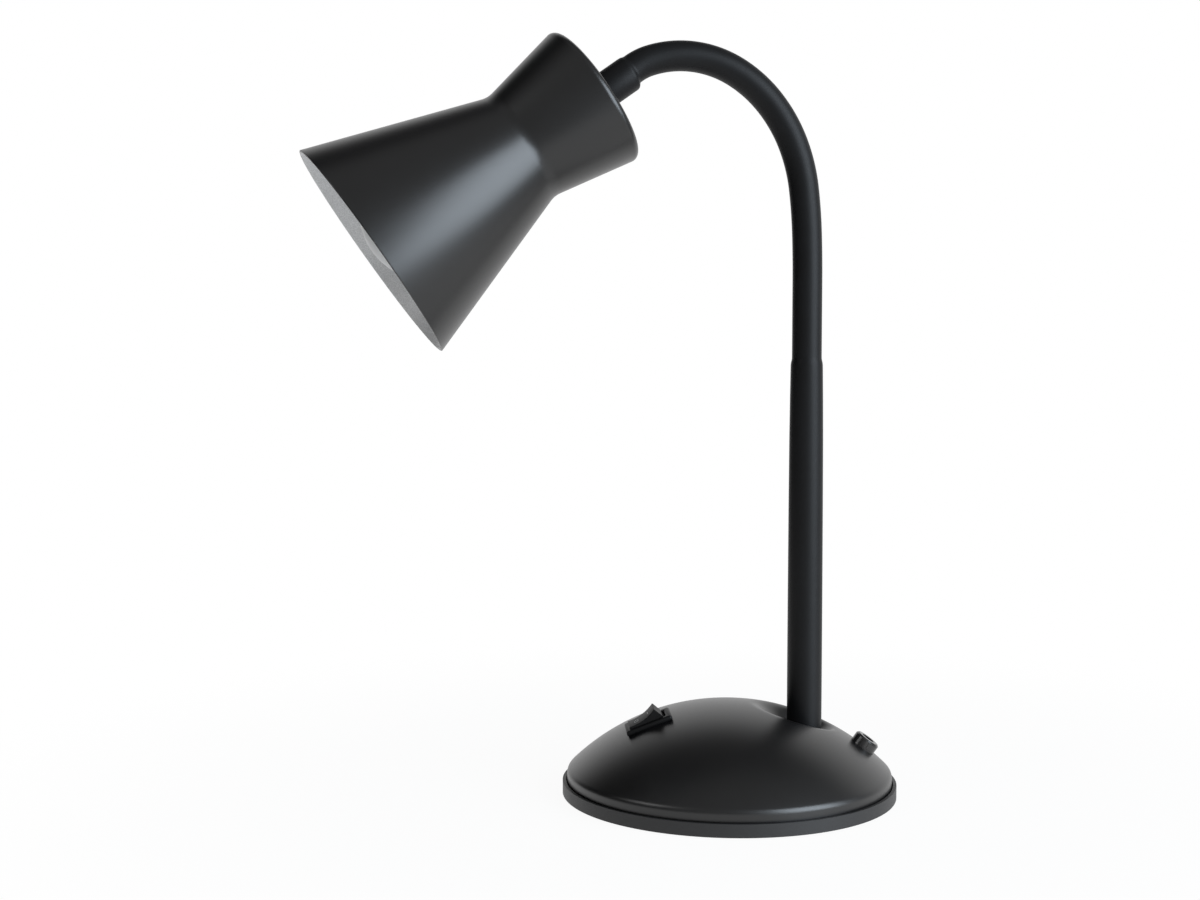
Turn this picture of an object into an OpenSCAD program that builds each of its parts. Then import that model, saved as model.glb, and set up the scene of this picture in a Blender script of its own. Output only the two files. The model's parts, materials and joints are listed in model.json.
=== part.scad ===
// Desk lamp: weighted dome base, rigid stem, flexible neck in a rubber sleeve, double-cone shade.
// Origin: centre of the base on the table. +X towards the stem, -X towards the rocker switch.

/* [Base] */
// Diameter of the rim ring
base_d = 160; // [150:1:175]
// Height of the top of the rim ring above the table
rim_h = 6.5; // [5.5:0.1:8]
// Thickness of the upright lip of the rim ring
rim_lip = 1.6; // [1.2:0.1:2.4]
// Open seam between the lip and the dome
seam_gap = 0.6; // [0.3:0.1:1]
// Thickness of the tray's floor
tray_floor = 2.8; // [2.4:0.1:3.4]
// Height of the tray's underside above the table
tray_lift = 0.4; // [0.2:0.1:0.8]
// Thickness of the pad under the tray
pad_t = 1.2; // [1:0.1:1.6]
// Width of the tray's rim that the pad leaves bare
pad_margin = 6; // [4:0.5:10]
// Height of the crown of the dome above the table
base_h = 43.6; // [41:0.2:46]
// Radius of the dome's crown
crown_r = 110; // [104:1:118]
// Radius of the dome's rounded shoulder
shoulder_r = 4; // [2.5:0.5:6]
// Sheet thickness of the dome
shell_wall = 1; // [0.8:0.1:1.2]
// Thickness of the ballast plate
ballast_t = 9; // [6:0.5:10]
// Open ring between the ballast plate and the inside of the dome
ballast_gap = 3; // [2:0.5:6]
// Radius of the circle on which the tray's screws stand
screw_circle_r = 62; // [58:0.5:64]
// Diameter of the tray's screws
screw_d = 4; // [3.5:0.1:5]
// Diameter of the bosses that take the tray's screws
boss_d = 9; // [8:0.5:10]

/* [Stem] */
// Distance from the base's centre to the stem
stem_x = 36.7; // [33:0.5:39]
// Height of the pressed seat that carries the stem
seat_z = 28; // [26:0.5:29]
// Radius of the flat floor of that seat
seat_r = 10.5; // [10:0.5:12]
// Slope of the wall round the seat, degrees from level
seat_slope = 50; // [42:1:58]
// Outer diameter of the steel tube in the stem
stem_tube_d = 12.4; // [12.2:0.1:13]
// Height of the stem tube's top end above the table
stem_top_z = 209; // [195:1:212]
// Wall of the rubber sleeve
sleeve_wall = 2; // [1.6:0.1:2.4]
// Length over which the sleeve narrows from the tube to the neck
sleeve_taper = 9; // [5:0.5:11]
// Diameter of the threaded nipple, washers and stud
thread_d = 10; // [9.6:0.1:10]
// Bore of the nipple and the stud
thread_bore_d = 6.4; // [5.6:0.1:7]
// Width across flats of the hexagon nuts
nut_af = 14; // [13.5:0.1:16]
// Thickness of the stem's nut
stem_nut_t = 4; // [3:0.5:5]
// Thickness of the stem's washer
stem_washer_t = 1.6; // [1:0.1:2]
// Length of the nipple above the seat
nipple_up = 22; // [14:1:40]
// Length of the nipple below the stem's nut
nipple_end = 1.6; // [1:0.1:2.4]

/* [Neck] */
// Diameter of the gooseneck's steel core
core_d = 10; // [9.6:0.1:10.4]
// Bore of the core
core_bore_d = 6; // [5:0.1:6.6]
// Height of the neck's first joint above the table
first_joint_z = 224; // [220:1:236]
// Distance along the neck from one joint to the next
joint_step = 21.7; // [20:0.1:24]
// Turn of the neck's plane about the stem, degrees
neck_turn = 6; // [0:1:12]
// Bend of the last short stretch before the shade, degrees
end_bend = 16.7; // [10:0.1:20]
// Length of that last stretch
end_len = 8; // [7:0.5:10]
// Length of the straight end of the neck behind the shade
collar_len = 22; // [20:0.5:26]
// Length that the core reaches into the stem tube and the end fitting
core_grip = 12; // [9:0.5:13]
// Gap between the rounded end of one neck segment and the next segment
joint_gap = 0.4; // [0.35:0.05:0.5]

/* [Shade] */
// Radius of the shade's mouth
mouth_r = 55; // [50:0.5:60]
// Length of the shade along its axis
shade_len = 127; // [124:1:134]
// Radius of the waist
waist_r = 26.9; // [26:0.1:32]
// Distance from the mouth to the waist
waist_from_mouth = 84; // [78:1:88]
// Radius of the closed rear end
rear_r = 34.6; // [32:0.2:38]
// Radius of the rounded rear edge
rear_edge_r = 3; // [2:0.5:5]
// Radius of the soft bend at the waist
waist_bend_r = 12; // [6:1:20]
// Sheet thickness of the shade
shade_wall = 1; // [0.8:0.1:1.2]
// Thickness of the washer inside the shade
shade_washer_t = 1; // [0.8:0.1:1.5]
// Thickness of the nut inside the shade
shade_nut_t = 3; // [2.5:0.5:4]

/* [Lampholder and bulb] */
// Outer radius of the lampholder
holder_r = 20; // [19.5:0.1:21]
// Wall of the lampholder's cap and skirt
holder_wall = 2; // [1.6:0.1:2.4]
// Length of the lampholder's cap
holder_cap_len = 20; // [19:0.5:22]
// Length of the lampholder's skirt
holder_skirt_len = 25; // [22:0.5:28]
// Outer radius of the bulb's screw cap
bulb_cap_r = 13.1; // [13:0.05:13.2]
// Length of the bulb's screw cap
bulb_cap_len = 24; // [22:0.5:26]
// Radius of the bulb's globe
bulb_r = 30; // [27:0.5:32]
// Overall length of the bulb
bulb_len = 104; // [98:1:105]
// Height of the bulb's foot above the foot of the lampholder
bulb_seat = 17.5; // [17:0.5:19]
// Wall of the bulb's glass
glass_wall = 0.8; // [0.6:0.1:1]

/* [Rocker switch] */
// Distance of the switch from the base's centre, towards the front
switch_front = 39.5; // [37:0.5:42]
// Sideways offset of the switch and of the cord gland
cable_line_y = -8.5; // [-10:0.5:-7]
// Length of the switch's bezel
bezel_l = 22.8; // [22.4:0.1:24]
// Width of the switch's bezel
bezel_w = 14; // [13.6:0.1:15]
// Height of the bezel's face above the dome
bezel_up = 2; // [1.4:0.1:2.4]
// Length of the switch's body
switch_body_l = 20.6; // [20.4:0.1:21.2]
// Width of the switch's body
switch_body_w = 12.2; // [12:0.1:12.6]
// Wall of the switch's body
switch_wall = 0.8; // [0.7:0.05:0.9]
// Depth of the switch's body below the bezel's face
switch_depth = 15; // [14.8:0.1:16]
// Depth of the rocker's pivot below the bezel's face
rocker_pivot_depth = 5; // [4.8:0.1:5.2]
// Diameter of the rocker's pivot pins
rocker_pin_d = 2.4; // [2:0.1:2.6]
// Half length of the rocker's top, from the middle to a tip
rocker_half = 7.3; // [7:0.1:7.4]
// Height of the rocker's tips above its pivot
rocker_tip_h = 8.4; // [8:0.1:8.6]
// Dip of the rocker's hollow top below its tips
rocker_dip = 1.3; // [0.8:0.1:1.6]
// Tilt of the rocker to either side, degrees
rocker_tilt = 15.7; // [13:0.1:16]
// Tilt of the contact lever to either side, degrees
lever_tilt = 8; // [6:0.5:8.5]

/* [Cord gland] */
// Distance of the gland from the base's centre, towards the rear
gland_rear = 63.4; // [61:0.2:64]
// Diameter of the gland's head
gland_head_d = 12.4; // [12:0.1:13]
// Height of the gland's head above the dome
gland_up = 4.9; // [4:0.1:5.5]
// Diameter of the gland's threaded shank
gland_shank_d = 9; // [8.6:0.1:9.4]
// Length of the shank below the dome's outer face
gland_shank_len = 9; // [7:0.5:10]
// Bore of the gland, for a round lead
gland_bore_d = 6.4; // [6:0.1:6.6]
// Thickness of the gland's nut
gland_nut_t = 3; // [2:0.5:4]

/* [Hidden] */
$fn = 72;
// Bend of the neck between one joint and the next, degrees, as the lamp stands
rest_bends = [0, 2, 5, 15, 17.5, 20, 24.5, 24.5];
segments = len(rest_bends);
fit = 0.1;
thread_fit = 0.05;
face_gap = 0.02;

dome_r = base_d / 2 - rim_lip - seam_gap;
floor_z = tray_lift + tray_floor;
pad_r = base_d / 2 - pad_margin;
ballast_top = floor_z + ballast_t;
crown_z = base_h - crown_r;
ballast_r = min(dome_r, sqrt(pow(crown_r - shell_wall, 2) - pow(ballast_top - crown_z, 2))) - ballast_gap;
shoulder_c = dome_r - shoulder_r;
shoulder_z = crown_z + sqrt(pow(crown_r - shoulder_r, 2) - pow(shoulder_c, 2));
shoulder_a = atan2(shoulder_z - crown_z, shoulder_c);

core_r = core_d / 2;
neck_r = core_r + fit + sleeve_wall;
ball_r = neck_r - 0.1;
socket_r = ball_r + joint_gap;
stem_tube_r = stem_tube_d / 2;
stem_r = stem_tube_r + fit + sleeve_wall;
thread_r = thread_d / 2;
thread_hole_r = thread_r + 0.2;
nut_r = nut_af / 2 / cos(30);
stem_washer_z = seat_z - shell_wall - stem_washer_t;
stem_nut_z = stem_washer_z - stem_nut_t;
nipple_z = stem_nut_z - nipple_end;

switch_tilt = asin(-switch_front / crown_r);
gland_tilt = asin(gland_rear / crown_r);
bezel_corner = norm([bezel_l / 2, bezel_w / 2]) + 0.3;
bezel_sink = crown_r - sqrt(crown_r * crown_r - bezel_corner * bezel_corner);
bezel_edge = (bezel_l - switch_body_l) / 2;
switch_floor = 1;
switch_bottom = bezel_up - switch_depth;
rocker_pivot_z = bezel_up - rocker_pivot_depth;
rocker_w = switch_body_w - 2 * switch_wall - 0.6;
rocker_top_r = (rocker_half * rocker_half + rocker_dip * rocker_dip) / (2 * rocker_dip);
lever_z = rocker_pivot_z - 6.8;
lever_t = 0.5;
lever_half = 6.5;
lever_w = 4;
contact_x = 6;
contact_drop = contact_x * tan(lever_tilt) + lever_t / 2 / cos(lever_tilt) + fit;
blade_t = 0.8;
blade_w = 4.8;
blade_len = 6;
blade_end_z = switch_bottom - blade_len;
switch_normal = [-switch_front, cable_line_y, sqrt(pow(crown_r, 2) - pow(switch_front, 2) - pow(cable_line_y, 2))]
    / crown_r;

fitting_len = collar_len - 3;
thread_len = shade_wall + shade_washer_t + shade_nut_t + 7;
holder_z = shade_wall + shade_washer_t + shade_nut_t;
skirt_z = holder_z + holder_cap_len;
bulb_base_z = holder_z + bulb_seat;
globe_z = bulb_base_z + bulb_len - bulb_r;
bulb_cap_top = bulb_base_z + bulb_cap_len;
insert_top = bulb_base_z - 2.2;
insert_z = insert_top - 2.4;
thread_shell_r = bulb_cap_r + 0.2;
bulb_neck_r = bulb_cap_r - 0.4;
glass_foot_z = bulb_base_z + 12;

// Places

// Heading of the neck at a joint, degrees above level, turning towards the front
function heading(i) = i == 0 ? 90 : heading(i - 1) + rest_bends[i - 1];

// Straight line from one end of a bent stretch to the other
function chord(len, bend) = bend == 0 ? len : 2 * len / (bend * PI / 180) * sin(bend / 2);

function step(from, head, len, bend) =
    from + chord(len, bend) * [cos(head + bend / 2), sin(head + bend / 2)];

// Place of a joint in the neck's plane: distance in front of the stem, height
function joint(i) =
    i == 0 ? [0, first_joint_z] : step(joint(i - 1), heading(i - 1), joint_step, rest_bends[i - 1]);

shade_heading = heading(segments) + end_bend;
collar_start = step(joint(segments), heading(segments), end_len, end_bend);
shade_place = collar_start + collar_len * [cos(shade_heading), sin(shade_heading)];

module in_neck_plane() {
    translate([stem_x, 0, 0]) rotate([0, 0, neck_turn]) children();
}

// Local Z runs along the neck, local -X is the inside of its bend
module in_plane_at(place, head) {
    in_neck_plane() translate([place[0], 0, place[1]]) rotate([0, 90 - head, 0]) children();
}

module at_joint(i) {
    in_plane_at(joint(i), heading(i)) children();
}

module at_shade() {
    in_plane_at(shade_place, shade_heading) children();
}

// Local Z stands on the dome's crown, local X lies along the base's X
module on_crown(tilt) {
    side = asin(-cable_line_y / (crown_r * cos(tilt)));
    translate([0, 0, crown_z]) rotate([side, 0, 0]) rotate([0, tilt, 0])
        translate([0, 0, crown_r]) children();
}

module at_switch() {
    on_crown(switch_tilt) children();
}

module at_gland() {
    on_crown(gland_tilt) children();
}

module at_rocker() {
    at_switch() translate([0, 0, rocker_pivot_z]) rotate([0, -rocker_tilt, 0]) children();
}

module at_tray_screws() {
    for (a = [80, 200, 320])
        rotate([0, 0, a]) translate([screw_circle_r, 0, 0]) children();
}

// Shapes used more than once

function arc(cx, cz, r, from, to, n) =
    [for (k = [0:n]) let (a = from + (to - from) * k / n) [cx + r * cos(a), cz + r * sin(a)]];

module ring(r_out, r_in, from, to) {
    translate([0, 0, from]) difference() {
        cylinder(r = r_out, h = to - from);
        translate([0, 0, -1]) cylinder(r = r_in, h = to - from + 2);
    }
}

module hex_nut(thick, hole_r) {
    difference() {
        cylinder(r = nut_r, h = thick, $fn = 6);
        translate([0, 0, -1]) cylinder(r = hole_r, h = thick + 2);
    }
}

module rounded_plate(l, w, r, h) {
    linear_extrude(h) union() {
        square([l - 2 * r, w], center = true);
        square([l, w - 2 * r], center = true);
        for (x = [-1, 1], y = [-1, 1])
            translate([x * (l / 2 - r), y * (w / 2 - r)]) circle(r);
    }
}

module block(l, w, from, to) {
    translate([-l / 2, -w / 2, from]) cube([l, w, to - from]);
}

// Tube along a bent stretch that starts at the origin along Z and bends towards -X
module bent_ring(r_out, r_in, len, bend) {
    if (bend == 0) {
        ring(r_out, r_in, 0, len);
    } else {
        bend_r = len / (bend * PI / 180);
        translate([-bend_r, 0, 0]) rotate([90, 0, 0]) rotate_extrude(angle = bend)
            translate([bend_r, 0]) difference() {
                circle(r_out);
                circle(r_in);
            }
    }
}

// Rounded end of a neck part about a joint at the origin
module ball_end(r_out, r_in) {
    difference() {
        intersection() {
            sphere(r = ball_r);
            translate([0, 0, -0.5]) cylinder(r = r_out, h = ball_r + 1);
        }
        translate([0, 0, -1]) cylinder(r = r_in, h = ball_r + 3);
    }
}

// Curve through a lead's four guide points
function bezier(p, t) =
    pow(1 - t, 3) * p[0] + 3 * pow(1 - t, 2) * t * p[1] + 3 * (1 - t) * t * t * p[2] + pow(t, 3) * p[3];

function unit(v) = v / norm(v);

function side_of(d) = unit(cross(d, abs(d[1]) < 0.9 ? [0, 1, 0] : [1, 0, 0]));

// One polyhedron along a list of points
module lead(path, r) {
    sides = 8;
    last = len(path) - 1;
    rings = [for (i = [0:last])
        let (d = unit(path[min(i + 1, last)] - path[max(i - 1, 0)]), u = side_of(d), v = cross(d, u))
        for (k = [0:sides - 1]) let (a = 360 * k / sides) path[i] + r * (cos(a) * u + sin(a) * v)];
    walls = [for (i = [0:last - 1], k = [0:sides - 1])
        let (a = i * sides + k, b = i * sides + (k + 1) % sides)
        each [[a, a + sides, b + sides], [a, b + sides, b]]];
    start = [for (k = [1:sides - 2]) [0, k, k + 1]];
    end = [for (k = [1:sides - 2]) [last * sides, last * sides + k + 1, last * sides + k]];
    polyhedron(points = rings, faces = concat(walls, start, end), convexity = 4);
}

function curve_points(p, n) = [for (k = [0:n]) bezier(p, k / n)];

// Base

module dome_solid(inset, bottom) {
    edge_r = shoulder_r - inset;
    intersection() {
        translate([0, 0, crown_z]) sphere(r = crown_r - inset, $fn = 180);
        rotate_extrude() polygon(concat(
            [[0, bottom], [dome_r - inset, bottom]],
            arc(shoulder_c, shoulder_z, edge_r, 0, shoulder_a - 3, 6),
            [[shoulder_c, shoulder_z] + (edge_r + 0.05) * [cos(shoulder_a + 1), sin(shoulder_a + 1)],
            [shoulder_c, base_h + 5], [0, base_h + 5]]));
    }
}

// Funnel of the pressed seat, grown outwards by a wall
module seat_funnel(wall) {
    top = base_h + 5;
    foot_r = seat_r + wall * tan(seat_slope / 2);
    top_r = seat_r + (top - seat_z) / tan(seat_slope) + wall / sin(seat_slope);
    translate([stem_x, 0, 0]) rotate_extrude()
        polygon([[0, seat_z - wall], [foot_r, seat_z - wall], [top_r, top], [0, top]]);
}

module base_shell() {
    color([0.06, 0.06, 0.065]) difference() {
        union() {
            difference() {
                dome_solid(0, floor_z);
                dome_solid(shell_wall, floor_z - 1);
            }
            intersection() {
                seat_funnel(shell_wall);
                dome_solid(0, floor_z);
            }
            intersection() {
                at_switch() translate([0, 0, -bezel_sink - shell_wall])
                    cylinder(r = bezel_corner + 1.5, h = shell_wall + 0.5);
                dome_solid(0, floor_z);
            }
        }
        seat_funnel(0);
        translate([stem_x, 0, seat_z - shell_wall - 1]) cylinder(r = thread_hole_r, h = shell_wall + 2);
        at_switch() {
            translate([0, 0, -bezel_sink]) cylinder(r = bezel_corner + 1, h = bezel_sink + 2);
            block(switch_body_l + 2 * fit, switch_body_w + 2 * fit, -8, 2);
        }
        at_gland() translate([0, 0, -6]) cylinder(r = gland_shank_d / 2 + fit, h = 12);
    }
}

module shell_bosses() {
    color([0.5, 0.5, 0.52]) difference() {
        intersection() {
            at_tray_screws() translate([0, 0, ballast_top]) cylinder(d = boss_d, h = base_h);
            dome_solid(shell_wall + face_gap, floor_z);
        }
        at_tray_screws() translate([0, 0, ballast_top - 1])
            cylinder(r = screw_d / 2 + thread_fit, h = 8);
    }
}

module base_tray() {
    color([0.1, 0.1, 0.105]) difference() {
        union() {
            translate([0, 0, tray_lift]) cylinder(d = base_d, h = tray_floor);
            ring(base_d / 2, base_d / 2 - rim_lip, floor_z - face_gap, rim_h);
        }
        translate([0, 0, tray_lift - 1]) cylinder(r = pad_r + 0.2, h = pad_t - tray_lift + 1);
        at_tray_screws() {
            translate([0, 0, -1]) cylinder(r = screw_d / 2 + fit, h = floor_z + 2);
            translate([0, 0, pad_t - 0.01])
                cylinder(r1 = screw_d + fit, r2 = screw_d / 2 + fit, h = screw_d / 2);
        }
    }
}

module base_pad() {
    color([0.16, 0.16, 0.17]) cylinder(r = pad_r, h = pad_t);
}

module ballast_plate() {
    color([0.33, 0.33, 0.34]) difference() {
        translate([0, 0, floor_z]) cylinder(r = ballast_r, h = ballast_t);
        at_tray_screws() translate([0, 0, floor_z - 1]) cylinder(r = screw_d / 2 + 0.3, h = ballast_t + 2);
    }
}

module tray_screws() {
    color([0.75, 0.75, 0.77]) at_tray_screws() {
        translate([0, 0, pad_t]) cylinder(r1 = screw_d, r2 = screw_d / 2, h = screw_d / 2);
        translate([0, 0, pad_t]) cylinder(d = screw_d, h = ballast_top - pad_t + 6);
    }
}

// Stem

module stem_nipple() {
    color([0.8, 0.7, 0.4]) translate([stem_x, 0, 0])
        ring(thread_r, thread_bore_d / 2, nipple_z, seat_z + nipple_up);
}

module stem_washer() {
    color([0.75, 0.75, 0.77]) translate([stem_x, 0, 0])
        ring(seat_r - 0.6, thread_r + thread_fit, stem_washer_z, stem_washer_z + stem_washer_t);
}

module stem_nut() {
    color([0.75, 0.75, 0.77]) translate([stem_x, 0, stem_nut_z])
        hex_nut(stem_nut_t, thread_r + thread_fit);
}

module stem_tube() {
    color([0.55, 0.55, 0.57]) translate([stem_x, 0, 0])
        ring(stem_tube_r, core_r + fit, seat_z, stem_top_z);
}

module stem_sleeve() {
    taper_z = stem_top_z - sleeve_taper / 2;
    tube_bore = stem_tube_r + fit;
    core_bore = core_r + fit;
    color([0.09, 0.1, 0.11]) translate([stem_x, 0, 0]) {
        rotate_extrude() polygon([
            [tube_bore, seat_z], [stem_r, seat_z], [stem_r, taper_z], [neck_r, taper_z + sleeve_taper],
            [neck_r, first_joint_z], [core_bore, first_joint_z], [core_bore, stem_top_z + fit],
            [tube_bore, stem_top_z + fit]]);
        translate([0, 0, first_joint_z]) ball_end(neck_r, core_bore + 0.05);
    }
}

module neck_core_foot() {
    color([0.6, 0.6, 0.62]) translate([stem_x, 0, 0]) {
        ring(core_r, core_bore_d / 2, stem_top_z - core_grip, first_joint_z);
        translate([0, 0, first_joint_z]) ball_end(core_r - 0.1, core_bore_d / 2 + 0.05);
    }
}

// Neck: each segment is hollow about its own joint and ends in a ball about the next one

module neck_core(i) {
    color([0.6, 0.6, 0.62]) difference() {
        union() {
            at_joint(i) bent_ring(core_r, core_bore_d / 2, joint_step, rest_bends[i]);
            at_joint(i + 1) ball_end(core_r - 0.1, core_bore_d / 2 + 0.05);
        }
        at_joint(i) sphere(r = socket_r);
    }
}

module neck_sleeve(i) {
    color([0.09, 0.1, 0.11]) difference() {
        union() {
            at_joint(i) bent_ring(neck_r, core_r + fit, joint_step, rest_bends[i]);
            at_joint(i + 1) ball_end(neck_r, core_r + fit + 0.05);
        }
        at_joint(i) sphere(r = socket_r);
    }
}

module neck_core_tail() {
    color([0.6, 0.6, 0.62]) difference() {
        union() {
            at_joint(segments) bent_ring(core_r, core_bore_d / 2, end_len, end_bend);
            at_shade()
                ring(core_r - 0.05, core_bore_d / 2 + 0.05, -collar_len - 0.5, core_grip - fitting_len);
        }
        at_joint(segments) sphere(r = socket_r);
    }
}

module sleeve_end() {
    tube_bore = stem_tube_r + fit;
    core_bore = core_r + fit + 0.05;
    color([0.09, 0.1, 0.11]) difference() {
        union() {
            at_joint(segments) bent_ring(neck_r, core_r + fit, end_len, end_bend);
            at_shade() rotate_extrude() polygon([
                [core_bore, -collar_len - 0.5], [neck_r - 0.2, -collar_len - 0.5],
                [stem_r, -collar_len + 4], [stem_r, 0], [tube_bore, 0],
                [tube_bore, -fitting_len - fit], [core_bore, -fitting_len - fit]]);
        }
        at_joint(segments) sphere(r = socket_r);
    }
}

module end_fitting() {
    color([0.7, 0.7, 0.72]) at_shade() difference() {
        union() {
            translate([0, 0, -fitting_len]) cylinder(r = stem_tube_r, h = fitting_len);
            translate([0, 0, -1]) cylinder(r = thread_r, h = thread_len + 1);
        }
        translate([0, 0, -fitting_len - 1]) cylinder(r = core_r + fit, h = core_grip + 1 + fit);
        translate([0, 0, -fitting_len - 1]) cylinder(d = thread_bore_d, h = fitting_len + thread_len + 2);
    }
}

// Shade

// Outline of the shade at a distance inside its outer face
function shade_profile(inset) =
    let (
        rear_edge = [rear_r - rear_edge_r, rear_edge_r],
        waist_z = shade_len - waist_from_mouth,
        rear_a = atan2(rear_r - waist_r, waist_z),
        front_a = atan2(mouth_r - waist_r, waist_from_mouth),
        bend_c = [waist_r + waist_bend_r / cos((rear_a + front_a) / 2), waist_z]
            + waist_bend_r / cos((rear_a + front_a) / 2) * [cos((rear_a - front_a) / 2) - 1, sin((rear_a - front_a) / 2)]
    )
    concat(
        [[0, inset]],
        arc(rear_edge[0], rear_edge[1], rear_edge_r - inset, -90, -rear_a, 6),
        arc(bend_c[0], bend_c[1], waist_bend_r + inset, 180 + rear_a, 180 - front_a, 8),
        [[mouth_r - inset / cos(front_a), shade_len]]);

module shade_shell() {
    color([0.06, 0.06, 0.065]) at_shade() difference() {
        rotate_extrude() polygon(concat(shade_profile(0), [[0, shade_len]]));
        rotate_extrude() polygon(concat(shade_profile(shade_wall),
            [[mouth_r - shade_wall / cos(20), shade_len + 1], [0, shade_len + 1]]));
        translate([0, 0, -1]) cylinder(r = thread_hole_r, h = shade_wall + 2);
    }
}

module shade_washer() {
    color([0.75, 0.75, 0.77]) at_shade()
        ring(thread_r + 5, thread_r + thread_fit, shade_wall, shade_wall + shade_washer_t);
}

module shade_nut() {
    color([0.75, 0.75, 0.77]) at_shade() translate([0, 0, shade_wall + shade_washer_t])
        hex_nut(shade_nut_t, thread_r + thread_fit);
}

// Lampholder and bulb

module holder_cap() {
    color([0.07, 0.07, 0.07]) at_shade() difference() {
        union() {
            translate([0, 0, holder_z]) cylinder(r1 = nut_r + 1, r2 = holder_r, h = 8);
            translate([0, 0, holder_z + 8]) cylinder(r = holder_r, h = holder_cap_len - 8);
        }
        translate([0, 0, holder_z + 8]) cylinder(r = holder_r - holder_wall - 2, h = holder_cap_len);
        translate([0, 0, insert_z]) cylinder(r = holder_r - holder_wall, h = holder_cap_len);
        translate([0, 0, holder_z - 1]) cylinder(r = thread_r + thread_fit, h = 10);
    }
}

module holder_insert() {
    color([0.9, 0.9, 0.86]) at_shade() difference() {
        union() {
            translate([0, 0, insert_z]) cylinder(r = holder_r - holder_wall - fit, h = insert_top - insert_z);
            translate([0, 0, insert_z]) cylinder(r = thread_shell_r + 2, h = bulb_cap_top - insert_z - 4);
        }
        translate([0, 0, insert_top]) cylinder(r = thread_shell_r + 0.6, h = bulb_cap_len + 20);
        for (x = [-9, 9]) {
            translate([x, 0, insert_z - 1]) cylinder(r = 1.8, h = 2.6);
            translate([x, -7, insert_z - 1]) cylinder(r = 1.2, h = 2.6);
        }
    }
}

module holder_thread() {
    color([0.85, 0.75, 0.45]) at_shade()
        ring(thread_shell_r + 0.5, thread_shell_r, insert_top, bulb_cap_top - 4);
}

module holder_contact() {
    color([0.85, 0.75, 0.45]) at_shade() translate([0, 0, insert_top])
        cylinder(r = 3, h = bulb_base_z - insert_top - fit);
}

module holder_skirt() {
    color([0.07, 0.07, 0.07]) at_shade() difference() {
        union() {
            translate([0, 0, skirt_z]) cylinder(r = holder_r, h = holder_skirt_len);
            translate([0, 0, insert_top]) cylinder(r = holder_r - holder_wall - fit, h = skirt_z - insert_top + 1);
        }
        translate([0, 0, skirt_z + 2]) cylinder(r = holder_r - holder_wall, h = holder_skirt_len - 3);
        translate([0, 0, insert_top - 1]) cylinder(r = thread_shell_r + 2 + fit, h = holder_skirt_len + 20);
    }
}

module holder_screws() {
    color([0.75, 0.75, 0.77]) at_shade() for (x = [-9, 9])
        translate([x, 0, insert_z - 1.4]) cylinder(r = 1.7, h = 3);
}

module bulb_cap() {
    color([0.8, 0.8, 0.78]) at_shade() difference() {
        union() {
            translate([0, 0, bulb_base_z + 0.8]) cylinder(r1 = 6, r2 = bulb_cap_r, h = 3);
            translate([0, 0, bulb_base_z + 3.8]) cylinder(r = bulb_cap_r, h = bulb_cap_len - 3.8);
        }
        translate([0, 0, bulb_base_z + 4.6]) cylinder(r = bulb_cap_r - 0.3, h = bulb_cap_len);
        translate([0, 0, bulb_base_z - 1]) cylinder(r = 4.5 + fit, h = 8);
    }
}

module bulb_contact() {
    color([0.3, 0.3, 0.3]) at_shade() {
        translate([0, 0, bulb_base_z]) cylinder(r1 = 3.5, r2 = 4.5, h = 1);
        translate([0, 0, bulb_base_z + 1]) cylinder(r = 4.5, h = 3);
    }
}

// Outline of the bulb's glass at a distance inside its outer face
function globe_profile(inset) =
    let (
        rise = globe_z - bulb_cap_top,
        swell_r = (pow(bulb_neck_r, 2) + rise * rise - bulb_r * bulb_r) / (2 * (bulb_r - bulb_neck_r)),
        swell_a = asin(rise / (bulb_r + swell_r))
    )
    concat(
        [[0, glass_foot_z + inset], [bulb_neck_r - inset, glass_foot_z + inset]],
        arc(bulb_neck_r + swell_r, bulb_cap_top, swell_r + inset, 180, 180 - swell_a, 10),
        arc(0, globe_z, bulb_r - inset, 2 - swell_a, 88, 16),
        [[0, globe_z + bulb_r - inset]]);

module bulb_globe() {
    color([0.93, 0.93, 0.92]) at_shade() difference() {
        rotate_extrude() polygon(globe_profile(0));
        rotate_extrude() polygon(globe_profile(glass_wall));
    }
}

module bulb_mount() {
    color([0.8, 0.85, 0.85]) at_shade() translate([0, 0, glass_foot_z + glass_wall]) {
        cylinder(r1 = 7, r2 = 3, h = 18);
        translate([0, 0, 17]) cylinder(r = 1.6, h = 20);
        for (x = [-1, 1])
            translate([x * 2, 0, 17]) rotate([0, x * 25, 0]) cylinder(r = 0.4, h = 22);
    }
}

// Rocker switch

module switch_housing() {
    inner_l = switch_body_l - 2 * switch_wall;
    inner_w = switch_body_w - 2 * switch_wall;
    color([0.05, 0.05, 0.055]) at_switch() difference() {
        union() {
            translate([0, 0, -bezel_sink]) rounded_plate(bezel_l, bezel_w, 0.8, bezel_sink + bezel_up);
            block(switch_body_l, switch_body_w, switch_bottom, -bezel_sink + 0.1);
            for (x = [-1, 1])
                translate([x * switch_body_l / 2, 0, 0])
                    block(1, 5, -bezel_sink - shell_wall - 2.5, -bezel_sink - shell_wall - fit);
        }
        difference() {
            block(inner_l, inner_w, switch_bottom + switch_floor, bezel_up + 1);
            translate([contact_x, 0, 0]) block(1.2, lever_w, switch_bottom, lever_z - contact_drop);
        }
        for (x = [0, -contact_x])
            translate([x, 0, 0])
                block(blade_t + fit, blade_w + fit, switch_bottom - 1, switch_bottom + switch_floor + 0.5);
        translate([0, 0, rocker_pivot_z]) rotate([90, 0, 0])
            cylinder(d = rocker_pin_d + fit, h = switch_body_w - 0.4, center = true);
    }
}

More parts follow.
